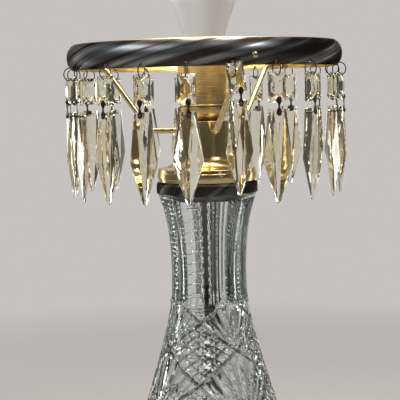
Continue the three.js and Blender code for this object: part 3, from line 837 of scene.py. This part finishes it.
def make_bulb():
    low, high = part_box("bulb_base")
    housing_radius, top = high.x, high.z
    thread_low, thread_pitch, threads, thread_steps = low.z + 3 * MM, 3.6 * MM, 5, 8
    thread_radius, thread_depth = 13.1 * MM, 0.7 * MM
    housing_height, housing_steps, contact_radius = 45.5 * MM, 24, 4.5 * MM
    housing_bottom = top - housing_height
    base = [(0, low.z), (contact_radius, low.z)]
    for step in range(threads * thread_steps + 1):
        share = step / thread_steps
        radius = thread_radius - thread_depth + thread_depth * wave(share)
        base.append((radius, thread_low + share * thread_pitch))
    neck = [(thread_radius - thread_depth, housing_bottom), (0, housing_bottom)]
    screw = turned_mesh("bulb_screw", base + neck, 64)
    piece("bulb_screw", screw, zinc, "bulb")
    waist, neck_radius = 17.5 * MM, 14.2 * MM
    cone = [(0, housing_bottom), (neck_radius, housing_bottom)]
    shoulder = (waist + housing_radius) / 2
    stations = [(0.0, neck_radius), (1 / 3, waist), (2 / 3, shoulder), (1.0, housing_radius)]
    for step in range(1, housing_steps + 1):
        share = step / housing_steps
        cone.append((cone_radius(share, stations), housing_bottom + housing_height * share))
    cone.append((0, top))
    housing = turned_mesh("bulb_housing", softened(cone, 0.5 * MM))
    piece("bulb_housing", housing, bulb_white, "bulb", ["bulb_base"])

    globe_low, globe_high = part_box("bulb_globe")
    radius, wall = 30 * MM, 1.2 * MM
    centre = globe_high.z - radius
    start = math.degrees(math.asin((globe_low.z - centre) / radius))
    outer = arc((0, centre), radius, start, 90, 28)
    inner = arc((0, centre), radius - wall, 90, start, 20)
    outer[-1], inner[0] = (0, centre + radius), (0, centre + radius - wall)
    globe = turned_mesh("bulb_dome", [*outer, *inner], 72)
    piece("bulb_dome", globe, globe_light, "bulb", ["bulb_globe"])


def cone_radius(share, stations):
    """Radius of the cone: straight from each station to the next"""
    for (low, start), (high, end) in zip(stations, stations[1:]):
        if share <= high:
            return start + (end - start) * (share - low) / (high - low)
    return stations[-1][1]


# ---- pendants

bead_width, bead_height, bead_thickness = 14.5 * MM, 23.5 * MM, 7.5 * MM
bead_edge = 2.4 * MM
bead_table_width, bead_table_height, bead_peak = 6.8 * MM, 6.4 * MM, 6.0 * MM
bead_hole_inset, hole_radius = 2.9 * MM, 0.8 * MM
hole_spacing = bead_height - 2 * bead_hole_inset
spear_length, spear_width, spear_thickness = 74 * MM, 25 * MM, 11 * MM
spear_top_width, spear_top_thickness, spear_top_edge = 14.5 * MM, 6.4 * MM, 3.0 * MM
spear_flat, spear_belly, spear_girdle, spear_hole_inset = 9 * MM, 40 * MM, 1.2 * MM, 3.5 * MM
clip_length, clip_width, clip_waist = 11.8 * MM, 4.3 * MM, 1.4 * MM
clip_sheet, clip_span, clip_shoulder = 0.5 * MM, 7.6 * MM, 2.2 * MM
clip_over, clip_waist_half, boss_radius, boss_fullness = 0.8 * MM, 1 * MM, 1.9 * MM, 0.6
tip_ridge, tip_half, tip_rise = 1.1 * MM, 1.7 * MM, 1.3 * MM
prong_radius = 0.5 * MM
loop_radius, wire_radius = 5.6 * MM, 0.45 * MM
loop_steps, wire_sides = 40, 8
caught_label, caught_tilt = "01", math.radians(-9)


def both_faces(corners):
    return [(x, side * y, z) for x, y, z in corners for side in ((1, -1) if y else (1,))]


def bead_blank():
    """The bead about its upper hole: a table that ends in a peak towards each end"""
    middle, front = bead_hole_inset - bead_height / 2, bead_thickness / 2
    corners = []
    for end in (-1, 1):
        corners.append((0, front, middle + end * bead_peak))
        for side in (-1, 1):
            corners.append((side * bead_width / 2, bead_edge / 2, middle + end * bead_height / 2))
            corners.append((side * bead_table_width / 2, front, middle + end * bead_table_height / 2))
    blank = hull_mesh("bead_blank", both_faces(corners), 0.28 * MM)
    holes = [
        bar_mesh("hole", hole_radius, (0, -bead_thickness, level), (0, bead_thickness, level), 12)
        for level in (0, -hole_spacing)
    ]
    return cut_mesh(blank, joined_mesh("holes", holes))


def spear_blank():
    """The spear about its own hole: a flat that narrows to the ridge that runs on to the tip"""
    top = spear_hole_inset
    belly = top - spear_belly
    tip = top - spear_length
    corners = [(0, spear_thickness / 2, belly), (0, 0, tip), (0, tip_ridge, tip + tip_ridge)]
    corners += [(side * tip_half, 0, tip + tip_rise) for side in (-1, 1)]
    for side in (-1, 1):
        corners.append((side * spear_flat / 2, spear_top_thickness / 2, top))
        corners.append((side * spear_top_width / 2, spear_top_edge / 2, top))
        corners.append((side * spear_width / 2, spear_girdle / 2, belly))
    blank = hull_mesh("spear_blank", both_faces(corners), 0.3 * MM)
    hole = bar_mesh("hole", hole_radius, (0, -spear_thickness, 0), (0, spear_thickness, 0), 12)
    return cut_mesh(blank, hole)


def clip_blank():
    """A bow-tie plate with a domed boss over each hole, and the prongs that go through the glass"""
    wide, over = clip_width / 2, clip_over
    upper = [(wide * 0.5, over), (wide, over * 0.2), (wide, -clip_shoulder)]
    waist = [(clip_waist / 2, -clip_length / 2 + half) for half in (clip_waist_half, -clip_waist_half)]
    right = upper + waist + [(x, -clip_length - z) for x, z in reversed(upper)]
    left = [(-x, z) for x, z in reversed(right)]
    outline = left[-2:] + right + left[:-2]
    bm = bmesh.new()
    front = [bm.verts.new((x, -clip_span / 2 - clip_sheet / 2, z)) for x, z in outline]
    bm.faces.new(front)
    made = bmesh.ops.extrude_face_region(bm, geom=bm.faces[:])
    moved_verts = [v for v in made["geom"] if isinstance(v, bmesh.types.BMVert)]
    bmesh.ops.translate(bm, verts=moved_verts, vec=(0, clip_sheet, 0))
    parts = [mesh_from(bm, "clip_plate")]
    for level in (0, -clip_length):
        start, end = (0, -clip_span / 2, level), (0, clip_span / 2, level)
        parts.append(bar_mesh("prong", prong_radius, start, end, 10))
        boss = turned_mesh("boss", [(0, 0), *arc((0, 0), boss_radius, 0, 90, 4)], 12)
        place = Matrix.Translation((0, -clip_span / 2 - clip_sheet / 2, level)) @ to_front
        parts.append(moved(boss, place @ Matrix.Diagonal((1, 1, boss_fullness, 1))))
    return joined_mesh("clip_blank", parts)


def loop_blank():
    """The jump ring about its own centre, standing across the band"""
    bm = bmesh.new()
    rings = []
    for turn in turns(loop_steps):
        out = Vector((0, math.cos(turn), math.sin(turn)))
        places = [
            out * (loop_radius + wire_radius * math.cos(a)) + Vector((wire_radius * math.sin(a), 0, 0))
            for a in turns(wire_sides)
        ]
        rings.append([bm.verts.new(place) for place in places])
    bridge(bm, zip(rings, rings[1:] + rings[:1]))
    return mesh_from(bm, "loop_blank")


def make_pendants():
    bead, spear, clip, loop = bead_blank(), spear_blank(), clip_blank(), loop_blank()
    for label in pendant_labels:
        swing, dangle = joints["swing_" + label], joints["dangle_" + label]
        hinge, pin = Vector(swing["pos_m"]), Vector(dangle["pos_m"])
        azimuth = math.atan2(-swing["axis"][1], -swing["axis"][0])
        facing = math.atan2(dangle["axis"][0], -dangle["axis"][1])
        tilt = caught_tilt if label == caught_label else 0
        turn = Matrix.Rotation(facing, 4, "Z")
        hung = Matrix.Translation(pin) @ turn
        bead_place = hung @ Matrix.Rotation(tilt, 4, "Y") @ Matrix.Translation((0, 0, hole_spacing))
        loop_place = Matrix.Translation(hinge) @ Matrix.Rotation(azimuth, 4, "Z")
        body, below = f"bead_{label}", f"spear_{label}"
        piece(f"glass_bead_{label}", moved(bead, bead_place), crystal, body, [body], 5)
        piece(f"jump_ring_{label}", moved(loop, loop_place), wire, body)
        spear_place = hung @ Matrix.Translation((0, 0, -clip_length))
        piece(f"glass_spear_{label}", moved(spear, spear_place), crystal, below, [below], 5)
        piece(f"bow_clip_{label}", moved(clip, hung), clip_black, below)


# ---- the cut glass

glass_low, glass_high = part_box("glass_body")
foot_level = glass_low.z
glass_height = glass_high.z - glass_low.z
foot_radius = glass_high.x
rim_radius = 43.0 * MM
rim_land = 3.0 * MM
rim_slope, rim_edge = 0.2 * MM, 0.5 * MM
glass_wall = 8.0 * MM
waist_radius, waist_level = 32.7 * MM, glass_height - 73 * MM
ring_line_radius, ring_line_level = 33.8 * MM, glass_height - 95 * MM
ring_line_half, ring_line_proud, ring_line_rows = 1.6 * MM, 0.9 * MM, 6
plain_band = 17.0 * MM
foot_chamfer = 1.5 * MM
neck_flare, bowl_flare = 2.5, 1.2
cut_turn = -4.0
bowl_columns, bowl_unit = 240, 3
miter_rise = 0.77
neck_columns, neck_rows = 324, 138
panel_half = 54.0
bore_columns, bore_rows = 96, 40
miter_spacing, miter_starts = 20, (4, 12)
strip_edge, notch_rows, ladder_half = 28.5, 14, 0.67
bush_level = 8.5 * MM
bush_hole = 4.7 * MM
bush_hole_inside, bush_hole_outside = 12 * MM, 4 * MM


def glass_radius(level):
    """Radius of the glass at a height above its own foot, before it is cut"""
    if level >= waist_level:
        share = (level - waist_level) / (glass_height - waist_level)
        return waist_radius + (rim_radius - waist_radius) * share**neck_flare
    if level >= ring_line_level:
        share = (waist_level - level) / (waist_level - ring_line_level)
        return waist_radius + (ring_line_radius - waist_radius) * share**2
    share = min(1, (ring_line_level - level) / (ring_line_level - plain_band))
    return ring_line_radius + (foot_radius - ring_line_radius) * share**bowl_flare


def bowl_levels():
    """Heights of the bowl's whole rows: each is as high as two units are wide, times the miters' rise"""
    levels = [ring_line_level - ring_line_half]
    two_units = 2 * math.pi * 2 * bowl_unit / bowl_columns
    while True:
        step = miter_rise * two_units * glass_radius(levels[-1])
        if levels[-1] - 1.5 * step <= plain_band:
            return levels
        levels.append(levels[-1] - step)


def glass_rings():
    """Every ring of the wall, up the outside and down the bore: radius, height, columns, row and zone"""
    rings = []

    def add(radius, level, columns, row=0, zone="plain"):
        rings.append((radius, level, columns, row, zone))

    add(foot_radius - glass_wall, 0, bowl_columns)
    add(foot_radius - foot_chamfer, 0, bowl_columns)
    add(foot_radius, foot_chamfer, bowl_columns)
    add(foot_radius, plain_band, bowl_columns)
    whole = bowl_levels()
    parts = 2 * bowl_unit
    for row in reversed(range((len(whole) - 1) * parts + 1)):
        index, part = divmod(row, parts)
        following = whole[min(index + 1, len(whole) - 1)]
        level = whole[index] + (following - whole[index]) * part / parts
        add(glass_radius(level), level, bowl_columns, row, "bowl")
    for step in range(1, ring_line_rows):
        angle = math.pi * step / ring_line_rows
        level = ring_line_level - ring_line_half * math.cos(angle)
        add(glass_radius(level) + ring_line_proud * math.sin(angle), level, neck_columns)
    low, high = ring_line_level + ring_line_half, glass_height - rim_land
    for row in range(neck_rows + 1):
        level = low + (high - low) * row / neck_rows
        add(glass_radius(level), level, neck_columns, row, "neck")
    top, edge_level = glass_radius(glass_height), glass_height - rim_edge
    add(top - rim_slope, edge_level, neck_columns)
    add(top - rim_slope - rim_edge, glass_height, neck_columns)
    add(top - glass_wall + rim_edge, glass_height, bore_columns)
    for step in range(bore_rows + 1):
        level = edge_level - edge_level * step / bore_rows
        if level > foot_chamfer:
            add(glass_radius(level) - glass_wall, level, bore_columns)
    return rings


def blown_glass():
    """The uncut body: each point knows its column, its row and which zone it is cut in"""
    bm = bmesh.new()
    column_of, row_of, bowl_of, neck_of = (
        bm.verts.layers.float.new(name) for name in ("column", "row", "bowl", "neck")
    )
    rings = []
    for radius, level, columns, row, zone in glass_rings():
        ring = []
        for column in range(columns):
            vert = bm.verts.new(around(cut_turn + 360 * column / columns, radius, foot_level + level))
            vert[column_of] = column / bowl_unit if columns == bowl_columns else column
            vert[row_of] = row / bowl_unit if zone == "bowl" else row
            vert[bowl_of], vert[neck_of] = float(zone == "bowl"), float(zone == "neck")
            ring.append(vert)
        rings.append((ring, row, zone))
    for (ring, row, zone), (following, next_row, _) in zip(rings, rings[1:] + rings[:1]):
        if len(ring) == len(following):
            square_faces(bm, ring, following, row, next_row, zone)
        else:
            stitched_faces(bm, ring, following)
    return mesh_from(bm, "blown_glass")


def square_faces(bm, ring, following, row, next_row, zone):
    """Two triangles a square, split so that the valleys of the cutting stay straight"""
    count = len(ring)
    for column in range(count):
        beside = (column + 1) % count
        square = (ring[column], ring[beside], following[beside], following[column])
        if zone == "bowl":
            rising = (column // bowl_unit + min(row, next_row) // bowl_unit) % 2 == 1
        elif zone == "neck":
            rising = (column + row) % 2 == 0
        else:
            bm.faces.new(square)
            continue
        for half in ((0, 1, 2), (0, 2, 3)) if rising else ((0, 1, 3), (1, 2, 3)):
            bm.faces.new([square[corner] for corner in half])


def stitched_faces(bm, ring, following):
    """Triangles between two rings whose columns differ in number"""
    here, there = 0, 0
    while here < len(ring) or there < len(following):
        if (here + 1) / len(ring) <= (there + 1) / len(following):
            corners = (ring[here], ring[(here + 1) % len(ring)], following[there % len(following)])
            here += 1
        else:
            corners = (ring[here % len(ring)], following[(there + 1) % len(following)], following[there])
            there += 1
        bm.faces.new(corners)


def math_method(name):
    """A method that puts one math node behind a number"""

    def method(self, *others):
        return self.math(name, *others)

    return method


class Number:
    """A number in a node tree, so that the rules of the cutting read as sums"""

    def __init__(self, tree, socket):
        self.tree = tree
        self.socket = socket

    def math(self, operation, *others):
        values = [value.socket if isinstance(value, Number) else value for value in (self, *others)]
        return Number(self.tree, calculated(self.tree, operation, *values))

    __add__, __sub__ = math_method("ADD"), math_method("SUBTRACT")
    __mul__, __truediv__ = math_method("MULTIPLY"), math_method("DIVIDE")
    least, most = math_method("MINIMUM"), math_method("MAXIMUM")
    below, above = math_method("LESS_THAN"), math_method("GREATER_THAN")
    whole, share = math_method("FLOOR"), math_method("FRACT")

    def flipped(self):
        """One less this number"""
        return self * -1 + 1

    def from_line(self, every, at=0.0):
        """Distance to the nearest of the lines that stand at one place and then at every so many"""
        return (self - at).math("PINGPONG", every / 2)

    def groove(self, half_width):
        """One on the line and nothing beyond the half width, straight between"""
        return (self / half_width).flipped().most(0.0)


def crossed(column, row, every, starts=(0.0, 0.0)):
    """Distance to the nearest line of a lattice that slants both ways"""
    return (column + row).from_line(every, starts[0]).least((column - row).from_line(every, starts[1]))


def bowl_cut(column, row, depth):
    """Big crossed miters, with star fields and fans in turn in the diamonds between them"""
    miter = crossed(column, row, miter_spacing, miter_starts).groove(1.0)
    across = (column + row - miter_starts[0]) / miter_spacing
    along = (column - row - miter_starts[1]) / miter_spacing
    fanned = (across.whole() + along.whole()).from_line(2)
    stars = fanned.flipped()
    coarse, fine = crossed(column, row, 4).groove(1.0), crossed(column, row, 2).groove(1.0)
    level = row.from_line(4, 2).groove(ladder_half)
    star = (coarse * 0.6 + fine * 0.4).most(level * 0.8)
    ladder = row.from_line(2 * ladder_half).groove(ladder_half) * 0.7
    high = row.below(6.0)
    star = star * high.flipped() + ladder * high
    a, b = across.share(), along.share().flipped()
    turn = a.flipped() + b.flipped()
    ray = (a.flipped() / turn.most(0.001) * 9).from_line(1).groove(0.5)
    fan = ray * (turn * 2.2).least(1.0) * (turn.flipped() * 2.2 + 2.2).least(1.0)
    field = star * stars * depth["Star depth"] + fan * fanned * depth["Fan depth"]
    return field.most(miter * depth["Miter depth"])


def neck_cut(column, row, depth):
    """Three panels: a plain strip with notched edges, flutes, ladder bars and diamond bands between"""
    side = column.math("WRAP", panel_half, -panel_half)
    away = side.math("ABSOLUTE")
    banded = away.above(strip_edge)
    diamond = crossed(column, row, 6).groove(3.0)
    edge = away.from_line(200, strip_edge).groove(1.6)
    notch = (row / notch_rows).share() * 1.6
    border = (away - notch).from_line(200, 4.2).groove(1.4)
    flute = side.from_line(5.0, 8.0).groove(2.5) * side.above(5.0)
    bars = row.from_line(notch_rows).groove(1.2) * side.below(-6.0) * away.below(20.0)
    ends = (row / 3).least((row * -1 + neck_rows) / 3).least(1.0)
    plain = (flute * depth["Flute depth"]).most(bars * depth["Ladder depth"]) * banded.flipped()
    cut = (plain + diamond * banded * depth["Diamond depth"]).most(border * depth["Border depth"])
    return cut.most(edge * depth["Neck miter depth"]) * ends


cut_depths = {
    "Miter depth": 2.0 * MM,
    "Star depth": 1.1 * MM,
    "Fan depth": 0.9 * MM,
    "Neck miter depth": 1.3 * MM,
    "Diamond depth": 1.5 * MM,
    "Border depth": 1.0 * MM,
    "Flute depth": 0.4 * MM,
    "Ladder depth": 0.5 * MM,
}


def stored(tree, name):
    """A number that each point carries"""
    node = tree.nodes.new("GeometryNodeInputNamedAttribute")
    node.data_type = "FLOAT"
    node.inputs["Name"].default_value = name
    return Number(tree, node.outputs["Attribute"])


def cutting_tree():
    """Moves each point of the wall inwards by how deep the wheel cuts there"""
    tree, enter = begun_tree("Glass cutting", cut_depths, "Glass")
    depth = {name: Number(tree, enter.outputs[name]) for name in cut_depths}
    column, row = stored(tree, "column"), stored(tree, "row")
    bowl = bowl_cut(column, row, depth) * stored(tree, "bowl")
    total = bowl + neck_cut(column, row, depth) * stored(tree, "neck")
    out = calculated(tree, "NORMALIZE", out_from_axis(tree), kind="ShaderNodeVectorMath")
    inward = tree.nodes.new("ShaderNodeVectorMath")
    inward.operation = "SCALE"
    keep = tree.nodes.new("GeometryNodeStoreNamedAttribute")
    keep.data_type, keep.domain = "FLOAT", "POINT"
    keep.inputs["Name"].default_value = "cut"
    shift = tree.nodes.new("GeometryNodeSetPosition")
    feed(tree, inward.inputs[0], out)
    feed(tree, inward.inputs["Scale"], (total * -1).socket)
    feed(tree, keep.inputs["Geometry"], enter.outputs["Geometry"])
    feed(tree, keep.inputs["Value"], (total / MM).socket)
    feed(tree, shift.inputs["Geometry"], keep.outputs["Geometry"])
    feed(tree, shift.inputs["Offset"], inward.outputs[0])
    end_tree(tree, shift.outputs[0], enter.outputs["Glass"])
    return tree


def make_glass_body():
    cut = grown_mesh(blown_glass(), cutting_tree(), {**cut_depths, "Glass": body_glass})
    level = foot_level + bush_level
    start, end = foot_radius - bush_hole_inside, foot_radius + bush_hole_outside
    hole = bar_mesh("hole", bush_hole, (0, start, level), (0, end, level), 32)
    cut = cut_mesh(cut, hole, "MANIFOLD")
    piece("cut_glass_body", cut, body_glass, "lamp", ["glass_body"], 12)


# ---- pieces that stay as they are


def dress_hidden_nodes():
    """CAD nodes whose shape is right keep it and only take a finish"""
    finishes = {
        "arm_hub": rod_brass,
        "lamp_pipe": pipe_black,
        "pipe_nut": zinc,
        "base_plate": zinc,
        "felt_pad": felt,
        "socket_body": phenolic,
        "screw_shell": rod_brass,
        "centre_contact": rod_brass,
        "cord_bush": phenolic,
    }
    for name, material in finishes.items():
        for place in frame["nodes"][name].material_slots:
            place.link = "OBJECT"
            place.material = material


# ---- the lamp

bronze = dark_bronze()
husk_brass = aged_brass(
    "husk_brass", (0.74, 0.58, 0.29), (0.42, 0.29, 0.12), (5, 5, 500), (0.2, 0.27), 0.1, 0.5
)
rod_brass = aged_brass(
    "rod_brass", (0.6, 0.49, 0.25), (0.42, 0.32, 0.14), (120, 120, 120), (0.24, 0.34), 0.1, 0.6
)
ring_brass = aged_brass("ring_brass", (0.6, 0.47, 0.22), (0.4, 0.29, 0.12), (60, 60, 700), (0.3, 0.5))
socket_brass = aged_brass(
    "socket_brass", (0.78, 0.6, 0.28), (0.32, 0.22, 0.09), (14, 14, 1500), (0.24, 0.45), 0.5
)
zinc = plain_metal("zinc", (0.6, 0.6, 0.6), (0.42, 0.42, 0.41), 0.34)
wire = plain_metal("ring_wire", (0.07, 0.05, 0.035), (0.03, 0.024, 0.02), 0.5)
pipe_black = blackened_pipe()
clip_black = plain_metal("clip_black", (0.035, 0.03, 0.028), (0.12, 0.1, 0.08), 0.4)
felt = green_felt()
phenolic = moulded_plastic("phenolic", (0.035, 0.028, 0.024), (0.06, 0.045, 0.035), 0.4)
bulb_white = moulded_plastic("bulb_white", (0.84, 0.82, 0.82), (0.8, 0.78, 0.78), 0.4)
globe_light = lit_globe()
body_glass = clear_glass(
    "body_glass", (0.98, 0.99, 0.985), 0.0004, (0.6, 0.75, 0.72), 9.0, (0.3, 0.33, 0.32)
)
# the crystal's warm amber tint, in its colour and in depth, is painted light: warm lamplight and reflected
# brass put into the glass's own tint
crystal = clear_glass("crystal", (0.99, 0.975, 0.93), 0.0003, (0.97, 0.86, 0.5), 30.0)
drilling = drilling_tree()

make_camera()
make_floor()
make_cards()
make_light()
dress_hidden_nodes()
make_glass_body()
make_gallery_ring()
make_vase_cap()
make_husk()
for arm_side, (hub_azimuth, ring_azimuth) in arm_azimuths.items():
    make_arm(arm_side, hub_azimuth, ring_azimuth)
make_socket()
make_bulb()
make_pendants()
light_all_but("lamp glow", "bulb_dome")
